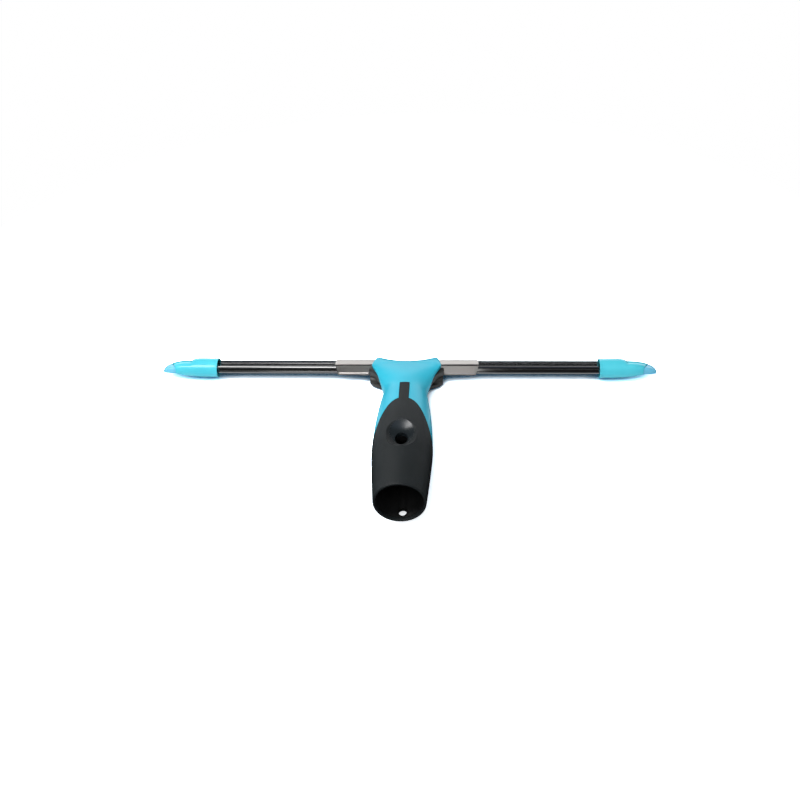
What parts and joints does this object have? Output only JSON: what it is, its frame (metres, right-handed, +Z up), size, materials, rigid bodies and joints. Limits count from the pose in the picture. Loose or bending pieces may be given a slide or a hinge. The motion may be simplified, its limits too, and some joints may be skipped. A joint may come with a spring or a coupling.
{
  "type": "window squeegee",
  "caption": "Window squeegee with a tapered pole-socket handle, a clamp lever under its head, a channel with a rubber blade, and pull-off end tips.",
  "frame": {"origin": "centre of the tool's box in plan, on the floor that the blade's edge and the belly of the handle rest on", "axes": "+X along the channel, +Y from the handle towards the blade's edge, +Z up"},
  "size_m": [0.3584, 0.1523, 0.0414],
  "materials": {
    "cyan_plastic": "moulded, satin gloss",
    "soft_grip": "overmoulded, matte",
    "black_plastic": "moulded, matte",
    "dark_nylon": "moulded, satin",
    "black_anodised": "extruded and anodised black, satin gloss",
    "spring_steel": "stamped, bright",
    "blade_rubber": "smooth, matte"
  },
  "bodies": {
    "handle": {"handle_core": "black_plastic", "head_shell": "cyan_plastic", "soft_grip": "soft_grip", "jaw_body": "dark_nylon", "steel_bracket": "spring_steel", "bracket_rivet_left": "spring_steel", "bracket_rivet_right": "spring_steel", "lever_pin": "spring_steel", "head_screw_left": "spring_steel", "head_screw_right": "spring_steel"},
    "lever": {"clamp_lever": "dark_nylon"},
    "blade": {"channel": "black_anodised", "rubber_blade": "blade_rubber"},
    "left_tip": {"left_tip_sleeve": "cyan_plastic", "left_tip_nib": "cyan_plastic"},
    "right_tip": {"right_tip_sleeve": "cyan_plastic", "right_tip_nib": "cyan_plastic"}
  },
  "joints": [
    {"name": "clamp_lever_hinge", "type": "hinge", "parent": "handle", "child": "lever", "pos_m": [0, 0.05249, 0.00474], "axis": [1, 0, 0], "range_deg": [0, 60]},
    {"name": "channel_slide", "type": "slide", "parent": "handle", "child": "blade", "axis": [1, 0, 0], "range_m": [-0.085, 0.085]},
    {"name": "left_tip_pull", "type": "slide", "parent": "blade", "child": "left_tip", "axis": [-1, 0, 0], "range_m": [0, 0.02]},
    {"name": "right_tip_pull", "type": "slide", "parent": "blade", "child": "right_tip", "axis": [1, 0, 0], "range_m": [0, 0.02]}
  ]
}
